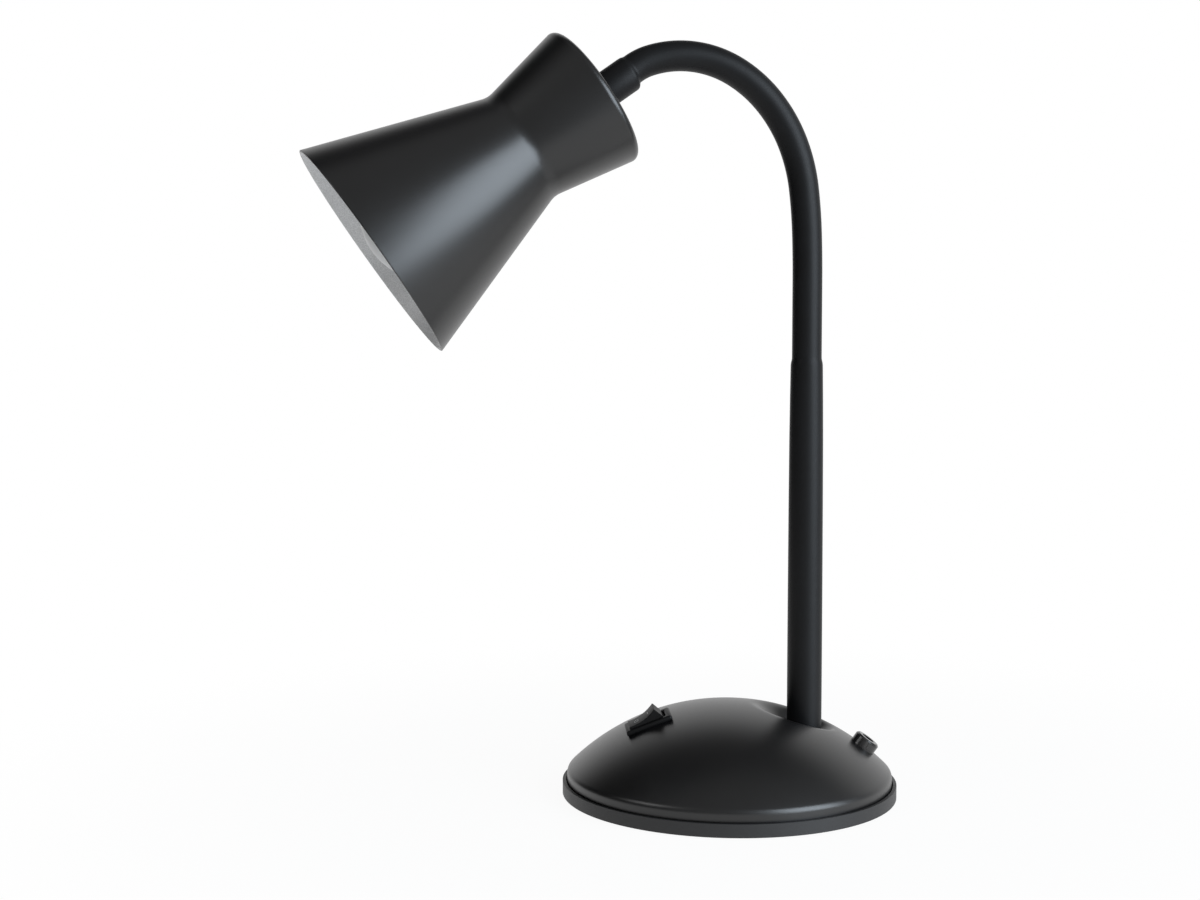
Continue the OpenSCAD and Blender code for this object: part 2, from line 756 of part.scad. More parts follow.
module switch_rocker() {
    color([0.04, 0.04, 0.045]) at_rocker() difference() {
        union() {
            rotate([90, 0, 0]) linear_extrude(rocker_w, center = true) difference() {
                polygon([
                    [-8, -1.5], [8, -1.5], [8.9, 0.5], [8.5, 3.6], [rocker_half, rocker_tip_h],
                    [-rocker_half, rocker_tip_h], [-8.5, 3.6], [-8.9, 0.5]]);
                translate([0, rocker_tip_h - rocker_dip + rocker_top_r]) circle(rocker_top_r, $fn = 144);
            }
            translate([0, 0, -4]) cylinder(r = 2.1, h = 3);
            rotate([90, 0, 0]) cylinder(d = rocker_pin_d, h = switch_body_w - 0.8, center = true);
        }
        translate([0, 0, -5]) cylinder(r = 1.3, h = 7.5);
    }
}

module rocker_spring() {
    color([0.75, 0.75, 0.77]) at_rocker() ring(1.2, 0.8, -1.9, 2.4);
}

module rocker_plunger() {
    color([0.9, 0.9, 0.88]) at_rocker() difference() {
        union() {
            translate([0, 0, -5.2]) cylinder(r = 1.2, h = 3.3);
            translate([0, 0, -5.2]) sphere(r = 1.2);
        }
        translate([0, 0, -3]) cylinder(r = 0.7, h = 3);
    }
}

module contact_lever() {
    color([0.85, 0.7, 0.45]) at_switch() translate([0, 0, lever_z]) rotate([0, lever_tilt, 0])
        block(2 * lever_half, lever_w, -lever_t / 2, lever_t / 2);
}

module switch_terminals() {
    color([0.8, 0.8, 0.78]) at_switch() {
        block(blade_t, blade_w, blade_end_z, lever_z - lever_t / 2 - fit);
        translate([-contact_x, 0, 0])
            block(blade_t, blade_w, blade_end_z, lever_z - contact_drop);
    }
}

// Cord gland

module wedge_slot(grow) {
    translate([-0.5 - grow, -gland_head_d / 2 - 1, 1 - grow]) cube([4.4 + 2 * grow, 3.2 + grow, 2.9 + 2 * grow]);
}

module gland_body() {
    color([0.05, 0.05, 0.055]) difference() {
        at_gland() difference() {
            union() {
                translate([0, 0, -1]) cylinder(d = gland_head_d, h = gland_up + 0.2);
                translate([0, 0, gland_up - 0.8]) cylinder(d1 = gland_head_d, d2 = gland_head_d - 1.6, h = 0.8);
            }
            wedge_slot(0.05);
            translate([0, 0, -2]) cylinder(d = gland_bore_d, h = 10);
        }
        translate([0, 0, crown_z]) sphere(r = crown_r + face_gap, $fn = 180);
    }
    color([0.05, 0.05, 0.055]) at_gland()
        ring(gland_shank_d / 2, gland_bore_d / 2, -gland_shank_len, 0.6);
}

module gland_wedge() {
    color([0.07, 0.07, 0.075]) at_gland() intersection() {
        wedge_slot(0);
        cylinder(d = gland_head_d + 0.4, h = gland_up);
    }
}

module gland_nut() {
    color([0.05, 0.05, 0.055]) at_gland()
        ring(gland_head_d / 2, gland_shank_d / 2 + thread_fit, -shell_wall - 0.4 - gland_nut_t, -shell_wall - 0.4);
}

// Wiring in the base

block_x = 4;
block_y = -32;
block_l = 16;
block_w = 14;
block_h = 9;
pole_y = 3.5;
lead_end_gap = 0.3;
lead_stub_z = blade_end_z - 2;
lead_r = 1;
lead_x = 1.4;
lead_low_z = ballast_top + 2.4;
block_mouth_z = ballast_top + 3.5;
stem_lead_top = first_joint_z - 9;

// Place in the base's frame, given along the switch's length and height
function under_switch(x, z) =
    let (across = unit([0, switch_normal[2], -switch_normal[1]]))
    [0, 0, crown_z] + (crown_r + z) * switch_normal + x * cross(across, switch_normal);

module connector_block() {
    color([0.9, 0.9, 0.86]) translate([block_x, block_y, 0]) difference() {
        block(block_l, block_w, ballast_top, ballast_top + block_h);
        for (y = [-pole_y, pole_y]) {
            translate([-block_l / 2 - 1, y, block_mouth_z]) rotate([0, 90, 0]) cylinder(r = 1.5, h = block_l + 2);
            for (x = [-4.5, 4.5])
                translate([x, y, block_mouth_z]) cylinder(r = 1.55, h = 10);
        }
    }
}

module connector_screws() {
    color([0.8, 0.7, 0.4]) translate([block_x, block_y, 0])
        for (x = [-4.5, 4.5], y = [-pole_y, pole_y])
            translate([x, y, block_mouth_z + lead_r]) cylinder(r = 1.5, h = 4);
}

module lead_in() {
    color([0.45, 0.25, 0.12]) lead(concat(
        curve_points([[block_x - block_l / 2 + 4, block_y - pole_y, block_mouth_z],
            [-30, block_y - pole_y, block_mouth_z],
            under_switch(0, lead_stub_z - 3.5), under_switch(0, lead_stub_z)], 14),
        [under_switch(0, blade_end_z - lead_end_gap)]), lead_r);
}

module lead_switched() {
    color([0.1, 0.1, 0.1]) lead(concat(
        [under_switch(-contact_x, blade_end_z - lead_end_gap)],
        curve_points([under_switch(-contact_x, lead_stub_z), under_switch(-contact_x, lead_stub_z - 3),
            [-34, 15, lead_low_z], [0, 15, lead_low_z]], 14),
        [for (k = [1:14]) bezier([[0, 15, lead_low_z], [30, 15, lead_low_z],
            [stem_x - lead_x, 0, lead_low_z - 2], [stem_x - lead_x, 0, nipple_z + 2]], k / 14)],
        [[stem_x - lead_x, 0, stem_lead_top]]), lead_r);
}

module lead_neutral() {
    color([0.15, 0.3, 0.6]) lead(concat(
        curve_points([[block_x - block_l / 2 + 4, block_y + pole_y, block_mouth_z],
            [-14, block_y + pole_y, block_mouth_z], [-14, -12, lead_low_z], [0, -12, lead_low_z]], 14),
        [for (k = [1:14]) bezier([[0, -12, lead_low_z], [30, -12, lead_low_z],
            [stem_x + lead_x, 0, lead_low_z - 2], [stem_x + lead_x, 0, nipple_z + 2]], k / 14)],
        [[stem_x + lead_x, 0, stem_lead_top]]), lead_r);
}

module holder_leads() {
    color([0.6, 0.6, 0.62]) at_shade() for (s = [-1, 1])
        lead(concat([[s * lead_x, 0, 1 - collar_len]], curve_points([
            [s * lead_x, 0, thread_len - 1], [s * lead_x, 0, thread_len + 3],
            [s * 9, -7, thread_len + 1], [s * 9, -7, insert_z + 1.2]], 8)), lead_r);
}

base_shell();
shell_bosses();
base_tray();
base_pad();
ballast_plate();
tray_screws();
stem_nipple();
stem_washer();
stem_nut();
stem_tube();
stem_sleeve();
neck_core_foot();
switch_housing();
switch_rocker();
rocker_spring();
rocker_plunger();
contact_lever();
switch_terminals();
gland_body();
gland_wedge();
gland_nut();
connector_block();
connector_screws();
lead_in();
lead_switched();
lead_neutral();
for (i = [0:segments - 1]) {
    neck_core(i);
    neck_sleeve(i);
}
neck_core_tail();
sleeve_end();
end_fitting();
shade_shell();
shade_washer();
shade_nut();
holder_cap();
holder_insert();
holder_thread();
holder_contact();
holder_skirt();
holder_screws();
holder_leads();
bulb_cap();
bulb_contact();
bulb_globe();
bulb_mount();
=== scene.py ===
import json
import math

import bmesh
import bpy
from mathutils import Matrix, Vector


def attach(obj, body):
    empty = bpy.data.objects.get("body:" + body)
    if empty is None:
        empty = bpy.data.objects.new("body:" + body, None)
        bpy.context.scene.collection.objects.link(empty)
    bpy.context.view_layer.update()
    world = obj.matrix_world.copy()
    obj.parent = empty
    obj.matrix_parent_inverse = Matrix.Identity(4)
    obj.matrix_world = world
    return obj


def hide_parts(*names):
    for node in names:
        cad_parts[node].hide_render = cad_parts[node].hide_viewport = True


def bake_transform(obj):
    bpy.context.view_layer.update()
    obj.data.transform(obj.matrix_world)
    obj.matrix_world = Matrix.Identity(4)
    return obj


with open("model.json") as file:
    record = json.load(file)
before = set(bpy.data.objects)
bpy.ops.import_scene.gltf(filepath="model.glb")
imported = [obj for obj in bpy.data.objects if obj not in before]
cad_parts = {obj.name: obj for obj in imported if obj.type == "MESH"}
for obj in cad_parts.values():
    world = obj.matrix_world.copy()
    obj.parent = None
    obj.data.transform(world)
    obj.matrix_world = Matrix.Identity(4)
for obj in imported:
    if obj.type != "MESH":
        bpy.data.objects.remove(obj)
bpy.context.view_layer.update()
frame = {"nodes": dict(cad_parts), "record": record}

# Looks of the desk lamp: its visible shells modelled anew on the construction model's bodies

mm = 0.001


# Base: sizes in millimetres, angles in degrees

base_h = 43.6
crown_r = 110
crown_z = base_h - crown_r
dome_r = 77.8
dome_foot = 3.3
shoulder_r = 4
shoulder_foot = 6.4
shell_wall = 1
recess_r = 10.1
recess_slope = 50
recess_floor_blend = 3
recess_crest_blend = 5
switch_hole = (20.8, 12.4, 12)
gland_hole_r, gland_hole_depth = 4.7, 12


# Stem and neck

stem_x = 36.7
seat_z = 28
stem_r = 8.32
neck_r = 7.05
collar_r = 8.4
sleeve_wall = 2
first_joint_z = 224
joint_step = 21.7
end_bend_len = 8
collar_len = 22
neck_turn = math.radians(6)
along_neck = Vector((math.cos(neck_turn), math.sin(neck_turn), 0))
across_neck = Vector((-along_neck.y, along_neck.x, 0))
sections = [(joint_step, bend) for bend in (0, 2, 5, 15, 17.5, 20, 24.5, 24.5)]
sections += [(end_bend_len, 16.7), (collar_len, 0)]
neck_len = sum(length for length, _ in sections)

# Height and radius of the rings on the stem part, up to the soft step below the neck
stem_rings = ((60, stem_r), (100, 8.27), (140, 8.18), (170, 8.05), (190, 7.86), (200, 7.72),
              (204, 7.66), (205.6, 7.62), (206.4, 7.55), (207.2, 7.4), (208, 7.2), (208.8, 7.08),
              (209.8, neck_r), (212, neck_r))

# Distance past the last bend, and radius, of the rings on the collar
collar_rings = ((1.6, 7.12), (2.2, 7.42), (2.8, 7.95), (3.4, 8.25), (4.2, collar_r),
                (12, collar_r), (21.2, collar_r), (21.8, 8.25), (collar_len, 8))


# Camera, at the place the photograph was taken from

camera_at = Vector((-119.16, -815.27, 218.03))
camera_down, camera_turn = 3.676, 4
focal_length = 51.787


def add_camera():
    data = bpy.data.cameras.new("camera")
    data.lens = focal_length
    data.sensor_width = 36
    data.clip_start = 0.01
    camera = bpy.data.objects.new("camera", data)
    camera.location = camera_at * mm
    camera.rotation_euler = (math.radians(90 - camera_down), 0, math.radians(-camera_turn))
    bpy.context.collection.objects.link(camera)
    bpy.context.scene.camera = camera


# Workshop helpers

def clear_selection():
    if bpy.context.object and bpy.context.object.mode != "OBJECT":
        bpy.ops.object.mode_set(mode="OBJECT")
    bpy.ops.object.select_all(action="DESELECT")


def focus(piece):
    clear_selection()
    piece.select_set(True)
    bpy.context.view_layer.objects.active = piece


def start(name):
    piece = bpy.context.object
    piece.name = piece.data.name = name
    bpy.ops.object.mode_set(mode="EDIT")
    bpy.ops.mesh.select_all(action="SELECT")
    return piece


def pick(piece, kind, test):
    bpy.ops.mesh.select_all(action="DESELECT")
    mesh = bmesh.from_edit_mesh(piece.data)
    for part in getattr(mesh, kind):
        if test(part):
            part.select_set(True)
    mesh.select_flush_mode()
    bmesh.update_edit_mesh(piece.data)


def middle(edge):
    return (edge.verts[0].co + edge.verts[1].co) / 2


def rise(edge):
    return abs(edge.verts[0].co.z - edge.verts[1].co.z)


def extrude_by(x, y, z):
    bpy.ops.mesh.extrude_region_move(TRANSFORM_OT_translate={"value": (x * mm, y * mm, z * mm)})


def close_up(piece):
    bpy.ops.mesh.select_all(action="SELECT")
    bpy.ops.mesh.remove_doubles(threshold=0.004 * mm)
    bpy.ops.mesh.normals_make_consistent(inside=False)
    bpy.ops.object.mode_set(mode="OBJECT")


def settle(piece, place=None):
    focus(piece)
    if place:
        piece.matrix_world = place @ piece.matrix_world
    bpy.ops.object.transform_apply(location=True, rotation=True, scale=True)


def smooth(piece, angle=32):
    focus(piece)
    bpy.ops.object.shade_smooth_by_angle(angle=math.radians(angle))


def use_modifier(piece, kind, **settings):
    focus(piece)
    modifier = piece.modifiers.new(kind.lower(), kind)
    for key, value in settings.items():
        setattr(modifier, key, value)
    bpy.ops.object.modifier_apply(modifier=modifier.name)


def give_wall(piece, thickness, inside_slot=0):
    use_modifier(piece, "SOLIDIFY", thickness=thickness, offset=-1, use_even_offset=True,
                 material_offset=inside_slot)


def cut_out(piece, cutter, place):
    settle(cutter, place)
    use_modifier(piece, "BOOLEAN", object=cutter, operation="DIFFERENCE", solver="EXACT")
    bpy.data.objects.remove(cutter)


def paint(piece, *finishes):
    piece.data.materials.clear()
    for finish in finishes:
        piece.data.materials.append(finish)


def arc(x, z, radius, first, last, steps):
    angles = [math.radians(first + (last - first) * k / steps) for k in range(steps + 1)]
    return [(x + radius * math.cos(a), z + radius * math.sin(a)) for a in angles]


def draw_outline(name, points):
    """Draw a line of edges through points of the XZ plane, one extruded from the other."""
    clear_selection()
    bpy.ops.mesh.primitive_plane_add(size=mm)
    piece = start(name)
    bpy.ops.mesh.merge(type="CENTER")
    here = Vector((0, 0, 0))
    first = True
    for x, z in points:
        there = Vector((x, 0, z)) * mm
        if first:
            bpy.ops.transform.translate(value=there - here)
        else:
            bpy.ops.mesh.extrude_vertices_move(TRANSFORM_OT_translate={"value": there - here})
        first = False
        here = there
    return piece


def turn_outline(piece, steps):
    bpy.ops.mesh.select_all(action="SELECT")
    bpy.ops.mesh.spin(steps=steps, angle=math.tau, center=(0, 0, 0), axis=(0, 0, 1))
    close_up(piece)


def rounded_block(name, size, centre, corner, steps=4):
    clear_selection()
    bpy.ops.mesh.primitive_cube_add(size=1, scale=Vector(size) * mm, location=Vector(centre) * mm)
    settle(bpy.context.object)
    piece = start(name)
    pick(piece, "edges", lambda e: rise(e) > 0.1 * mm)
    bpy.ops.mesh.bevel(offset=corner * mm, segments=steps, affect="EDGES")
    return piece


# Finishes

def new_finish(name, gloss=0.5):
    finish = bpy.data.materials.new(name)
    finish.use_nodes = True
    shader = finish.node_tree.nodes["Principled BSDF"]
    shader.inputs["Specular IOR Level"].default_value = gloss
    return finish, shader


def add_noise(finish, scale, detail=3.0, rough=0.55):
    nodes, links = finish.node_tree.nodes, finish.node_tree.links
    place = nodes.new("ShaderNodeTexCoord")
    noise = nodes.new("ShaderNodeTexNoise")
    noise.inputs["Scale"].default_value = scale
    noise.inputs["Detail"].default_value = detail
    noise.inputs["Roughness"].default_value = rough
    links.new(place.outputs["Object"], noise.inputs["Vector"])
    return noise.outputs["Fac"]


def map_range(tree, source, first, last, low, high, kind="LINEAR"):
    spread = tree.nodes.new("ShaderNodeMapRange")
    spread.interpolation_type = kind
    for socket, value in (("From Min", first), ("From Max", last), ("To Min", low), ("To Max", high)):
        spread.inputs[socket].default_value = value
    tree.links.new(source, spread.inputs["Value"])
    return spread


def vary_roughness(finish, source, low, high):
    shader = finish.node_tree.nodes["Principled BSDF"]
    spread = map_range(finish.node_tree, source, 0.3, 0.7, low, high)
    finish.node_tree.links.new(spread.outputs["Result"], shader.inputs["Roughness"])


def vary_colour(finish, source, first, second, start_at=0.35, end_at=0.65):
    nodes, links = finish.node_tree.nodes, finish.node_tree.links
    ramp = nodes.new("ShaderNodeValToRGB")
    ramp.color_ramp.elements[0].position = start_at
    ramp.color_ramp.elements[1].position = end_at
    ramp.color_ramp.elements[0].color = (*first, 1)
    ramp.color_ramp.elements[1].color = (*second, 1)
    links.new(source, ramp.inputs["Fac"])
    links.new(ramp.outputs["Color"], nodes["Principled BSDF"].inputs["Base Color"])


def add_bump(finish, source, height):
    nodes, links = finish.node_tree.nodes, finish.node_tree.links
    bump = nodes.new("ShaderNodeBump")
    bump.inputs["Distance"].default_value = height * mm
    bump.inputs["Strength"].default_value = 1
    links.new(source, bump.inputs["Height"])
    links.new(bump.outputs["Normal"], nodes["Principled BSDF"].inputs["Normal"])


def plain_finish(name, dark, light, rough, grain, height, metal=0.0, gloss=0.5):
    """Broad drift of colour, fine grain in the roughness, and a bump of the grain's height."""
    finish, shader = new_finish(name, gloss)
    shader.inputs["Metallic"].default_value = metal
    fine = add_noise(finish, grain)
    broad = add_noise(finish, 60, detail=2.0)
    vary_colour(finish, broad, dark, light)
    vary_roughness(finish, fine, *rough)
    add_bump(finish, fine, height)
    return finish


def satin_black_enamel():
    return plain_finish("satin_black_enamel", (0.0016, 0.0016, 0.0018), (0.0024, 0.0024, 0.0027),
                        (0.31, 0.37), 1900, 0.004, gloss=0.66)


def speckled_silver_paint():
    finish, shader = new_finish("speckled_silver_paint")
    shader.inputs["Metallic"].default_value = 0.2
    flakes = add_noise(finish, 2300, detail=4.0, rough=0.7)
    vary_colour(finish, flakes, (0.54, 0.54, 0.54), (0.82, 0.82, 0.82), 0.38, 0.62)
    vary_roughness(finish, flakes, 0.34, 0.55)
    add_bump(finish, flakes, 0.02)
    return finish


def sleeve_rubber():
    return plain_finish("sleeve_rubber", (0.0025, 0.0027, 0.0032), (0.0038, 0.0041, 0.0048),
                        (0.45, 0.55), 2200, 0.008, gloss=0.24)


def charcoal_tray_paint():
    finish, _ = new_finish("charcoal_tray_paint", gloss=0.55)
    texture = add_noise(finish, 2400, detail=5.0, rough=0.6)
    vary_colour(finish, texture, (0.006, 0.006, 0.0065), (0.013, 0.013, 0.014))
    vary_roughness(finish, texture, 0.46, 0.58)
    add_bump(finish, texture, 0.05)
    return finish


def moulded_black(name, rough, gloss):
    return plain_finish(name, (0.002, 0.002, 0.0022), (0.0035, 0.0035, 0.0038),
                        (rough, rough + 0.08), 3000, 0.004, gloss=gloss)


def printed_grey():
    return plain_finish("printed_grey_mark", (0.42, 0.42, 0.42), (0.5, 0.5, 0.5),
                        (0.5, 0.6), 3000, 0.002)


def frosted_glass():
    finish, shader = new_finish("frosted_bulb_glass")
    shader.inputs["Transmission Weight"].default_value = 0.25
    shader.inputs["IOR"].default_value = 1.46
    frost = add_noise(finish, 3200, detail=4.0)
    vary_colour(finish, frost, (0.86, 0.86, 0.85), (0.94, 0.94, 0.93))
    vary_roughness(finish, frost, 0.3, 0.42)
    add_bump(finish, frost, 0.006)
    return finish


# Neck: one rubber sleeve, cut into lengths at the middles between its joints

def neck_place(distance):
    """Place and heading on the neck's middle line, at a distance past the first joint."""
    u, z, heading = 0.0, first_joint_z, 90.0
    if distance <= 0:
        return u, z + distance, heading
    for length, bend in sections:
        run = min(distance, length)
        turned = bend * run / length
        if bend:
            radius = length / math.radians(bend)
            a, b = math.radians(heading), math.radians(heading + turned)
            u += radius * (math.sin(b) - math.sin(a))
            z += radius * (math.cos(a) - math.cos(b))
        else:
            u += run * math.cos(math.radians(heading))
            z += run * math.sin(math.radians(heading))
        heading += turned
        distance -= run
        if distance < 0.0001:
            break
    return u, z, heading


def neck_point(distance):
    u, z, _ = neck_place(distance)
    return (Vector((stem_x, 0, z)) + along_neck * u) * mm


def neck_direction(distance):
    heading = math.radians(neck_place(distance)[2])
    return along_neck * math.cos(heading) + Vector((0, 0, math.sin(heading)))


def neck_outside(distance):
    """Direction from the neck's middle line to the outside of its bend."""
    return across_neck.cross(neck_direction(distance))


def place_on_neck(distance):
    """Place on the neck's middle line, with Z along the neck and Y across its bend."""
    turned = Matrix((neck_outside(distance), across_neck, neck_direction(distance))).transposed()
    return Matrix.Translation(neck_point(distance)) @ turned.to_4x4()


def start_ring(name, distance, radius):
    place = place_on_neck(distance)
    clear_selection()
    bpy.ops.mesh.primitive_circle_add(vertices=64, radius=radius * mm, location=place.translation,
                                      rotation=place.to_euler())
    settle(bpy.context.object)
    return start(name)


def run_straight(distance, length, steps):
    for _ in range(steps):
        bpy.ops.mesh.extrude_edges_move(
            TRANSFORM_OT_translate={"value": neck_direction(distance) * length / steps * mm})


def run_bend(distance, length, bend, steps):
    radius = length / math.radians(bend)
    centre = neck_point(distance) - neck_outside(distance) * radius * mm
    bpy.ops.mesh.spin(steps=steps, angle=math.radians(bend), center=centre, axis=across_neck)


def follow_neck(begin, finish):
    """Lengthen the selected ring along the neck from one distance to another."""
    at = 0.0
    for length, bend in sections:
        first, last = max(begin, at), min(finish, at + length)
        if last - first > 0.001:
            steps = max(2, round(last - first))
            if bend:
                run_bend(first, last - first, bend * (last - first) / length, steps)
            else:
                run_straight(first, last - first, steps)
        at += length


def swell_ring(distance, before, after):
    ratio = after / before
    bpy.ops.transform.resize(value=(ratio, ratio, ratio), center_override=neck_point(distance))


def finish_sleeve(piece):
    close_up(piece)
    give_wall(piece, sleeve_wall * mm)
    smooth(piece, 40)
    paint(piece, finishes["rubber"])


def sleeve_foot():
    """Stem part of the sleeve: slightly thicker, with a soft step up to the bending part."""
    piece = start_ring("sleeve_stem", seat_z - first_joint_z, stem_r)
    at, radius = seat_z, stem_r
    for height, size in stem_rings:
        bpy.ops.mesh.extrude_edges_move(TRANSFORM_OT_translate={"value": (0, 0, (height - at) * mm)})
        swell_ring(height - first_joint_z, radius, size)
        at, radius = height, size
    to_joint = first_joint_z - at
    run_straight(-to_joint, to_joint, 12)
    follow_neck(0, joint_step / 2)
    finish_sleeve(piece)
    neck_point(-9)
    neck_point(9)
    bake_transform(piece)
    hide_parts("stem_sleeve")


def sleeve_length(number):
    """Sleeve over one bending joint, from the middle before it to the middle after it."""
    middle_at = number * joint_step
    piece = start_ring("sleeve_length_%d" % number, middle_at - joint_step / 2, neck_r)
    follow_neck(middle_at - joint_step / 2, middle_at + joint_step / 2)
    finish_sleeve(piece)
    neck_point(middle_at - 9)
    neck_point(middle_at + 9)
    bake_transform(piece)
    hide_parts("neck_sleeve_%d" % number)


def sleeve_collar():
    """Last length of the sleeve, with the thicker collar, set a little low, that meets the shade."""
    joint_at = 8 * joint_step
    collar_at = joint_at + end_bend_len
    plain_end, flare_end, lowered = 1, 5, 0.52
    piece = start_ring("sleeve_collar", joint_at - joint_step / 2, neck_r)
    follow_neck(joint_at - joint_step / 2, collar_at + plain_end)
    at, radius = collar_at + plain_end, neck_r
    inside = -neck_outside(at)
    for out, size in collar_rings:
        run_straight(at, collar_at + out - at, 1)
        swell_ring(collar_at + out, radius, size)
        if out < flare_end:
            bpy.ops.transform.translate(value=inside * (size - radius) * lowered * mm)
        at, radius = collar_at + out, size
    finish_sleeve(piece)
    neck_point(joint_at - 9)
    neck_point(collar_at)
    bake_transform(piece)
    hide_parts("neck_sleeve_8", "sleeve_end")


# Base

def soft_least(a, b, blend):
    gap = max(blend - abs(a - b), 0)
    return min(a, b) - gap * gap / (4 * blend)


def pressed_height(x, y):
    """Height of the dome's top, with the seat pressed into it round the stem."""
    crown = crown_z + math.sqrt(crown_r ** 2 - x * x - y * y)
    out = math.hypot(x - stem_x, y) - recess_r
    seat = seat_z + math.tan(math.radians(recess_slope)) * -soft_least(0, -out, recess_floor_blend)
    return soft_least(crown, seat, recess_crest_blend)


def dome_place(x, y):
    """Place on the dome's top, with Z square to its surface and Y square to the lamp's X."""
    normal = Vector((x, y, math.sqrt(crown_r ** 2 - x * x - y * y))) / crown_r
    side = Vector((0, normal.z, -normal.y)).normalized()
    turned = Matrix((side.cross(normal), side, normal)).transposed()
    return Matrix.Translation((Vector((0, 0, crown_z)) + normal * crown_r) * mm) @ turned.to_4x4()


switch_place = dome_place(-39.5, -8.5)
gland_place = dome_place(63.4, -8.5)
shade_place = place_on_neck(neck_len)


def grow_ring(x, ratio):
    """Extrude the selected ring outwards in its own plane, from a centre on the lamp's X axis."""
    bpy.ops.mesh.extrude_edges_move()
    bpy.ops.transform.resize(value=(ratio, ratio, 1), center_override=(x * mm, 0, 0))


def spread_rings(edge):
    """Flat rings from the stem's hole: close ones over the recess, then out to the dome's edge."""
    hole_r, fine_end, recess_end, rings = 6, 23, 28, 26
    clear_selection()
    bpy.ops.mesh.primitive_circle_add(vertices=192, radius=hole_r * mm, location=(stem_x * mm, 0, 0))
    settle(bpy.context.object)
    piece = start("base_dome")
    radius = hole_r
    while radius < recess_end:
        step = 1.0 if radius < fine_end else 1.5
        grow_ring(stem_x, (radius + step) / radius)
        radius += step
    shift, inner = stem_x, radius
    for k in range(1, rings + 1):
        new_radius = inner + (edge - inner) * k / rings
        new_shift = stem_x * (1 - k / rings)
        grow_ring(shift, new_radius / radius)
        bpy.ops.transform.translate(value=((new_shift - shift) * mm, 0, 0))
        radius, shift = new_radius, new_shift
    bpy.ops.object.mode_set(mode="OBJECT")
    return piece


def raise_rings(piece):
    for vertex in piece.data.vertices:
        vertex.co.z = pressed_height(vertex.co.x / mm, vertex.co.y / mm) * mm


def turn_down_edge(piece, edge, shoulder_c, shoulder_z, slope):
    """Round the dome's shoulder and run its skirt down inside the tray's rim."""
    bpy.ops.object.mode_set(mode="EDIT")
    outer = edge - 0.05
    pick(piece, "edges", lambda e: e.is_boundary and middle(e).xy.length > outer * mm)
    radius, low = edge, shoulder_z + shoulder_r * math.sin(math.radians(slope))
    shoulder = arc(shoulder_c, shoulder_z, shoulder_r, slope, 0, 7)[1:]
    for out, height in shoulder + [(dome_r, shoulder_foot), (dome_r, dome_foot)]:
        grow_ring(0, out / radius)
        bpy.ops.transform.translate(value=(0, 0, (height - low) * mm))
        radius, low = out, height
    close_up(piece)
    if piece.data.polygons[0].normal.z < 0:
        piece.data.flip_normals()


def press_dome():
    shoulder_c = dome_r - shoulder_r
    shoulder_z = crown_z + math.sqrt((crown_r - shoulder_r) ** 2 - shoulder_c ** 2)
    slope = math.degrees(math.asin((shoulder_z - crown_z) / (crown_r - shoulder_r)))
    edge = shoulder_c + shoulder_r * math.cos(math.radians(slope))
    piece = spread_rings(edge)
    raise_rings(piece)
    turn_down_edge(piece, edge, shoulder_c, shoulder_z, slope)
    give_wall(piece, shell_wall * mm)
    cut_dome(piece)
    smooth(piece, 40)
    paint(piece, finishes["enamel"])
    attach(piece, "base")
    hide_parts("base_shell")


def cut_dome(piece):
    """Cut the holes that the switch and the cord gland pass through."""
    cutter = rounded_block("switch_hole", switch_hole, (0, 0, -1), 0.5)
    close_up(cutter)
    cut_out(piece, cutter, switch_place)
    clear_selection()
    bpy.ops.mesh.primitive_cylinder_add(vertices=48, radius=gland_hole_r * mm,
                                        depth=gland_hole_depth * mm)
    cut_out(piece, bpy.context.object, gland_place)


# Rocker switch

bezel_l, bezel_w, bezel_corner = 22.8, 14, 1
bezel_top, bezel_foot = 2, -0.85
bezel_wall, bezel_lip = 1.75, 1.1
bezel_round, rocker_round = 0.45, 0.35
well_floor, housing_foot = -10, -15
rocker_w = 10
rocker_half, rocker_tip, rocker_dip = 7.3, 8.4, 1.3
rocker_top_r = (rocker_half ** 2 + rocker_dip ** 2) / (2 * rocker_dip)
pivot_z, rocker_tilt = -3, -15.7
off_mark_x, on_mark_x = -3.3, 3.2
rocker_place = (switch_place @ Matrix.Translation((0, 0, pivot_z * mm))
                @ Matrix.Rotation(math.radians(rocker_tilt), 4, "Y"))


def mould_bezel():
    near = 0.01 * mm
    height = bezel_top - bezel_foot
    piece = rounded_block("switch_bezel", (bezel_l, bezel_w, height), (0, 0, bezel_top - height / 2),
                          bezel_corner)
    pick(piece, "faces", lambda f: f.calc_center_median().z > bezel_top * mm - near)
    bpy.ops.mesh.inset(thickness=bezel_wall * mm)
    extrude_by(0, 0, well_floor - bezel_top)
    pick(piece, "faces", lambda f: abs(f.calc_center_median().z - bezel_foot * mm) < near)
    bpy.ops.mesh.inset(thickness=bezel_lip * mm)
    extrude_by(0, 0, housing_foot - bezel_foot)
    pick(piece, "edges", lambda e: middle(e).z > bezel_top * mm - near and len(e.link_faces) == 2
         and abs(e.link_faces[0].normal.z - e.link_faces[1].normal.z) > 0.5)
    bpy.ops.mesh.bevel(offset=bezel_round * mm, segments=4, affect="EDGES")
    close_up(piece)
    settle(piece, switch_place)
    smooth(piece, 35)
    paint(piece, finishes["moulded"])
    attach(piece, "base")
    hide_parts("switch_housing")


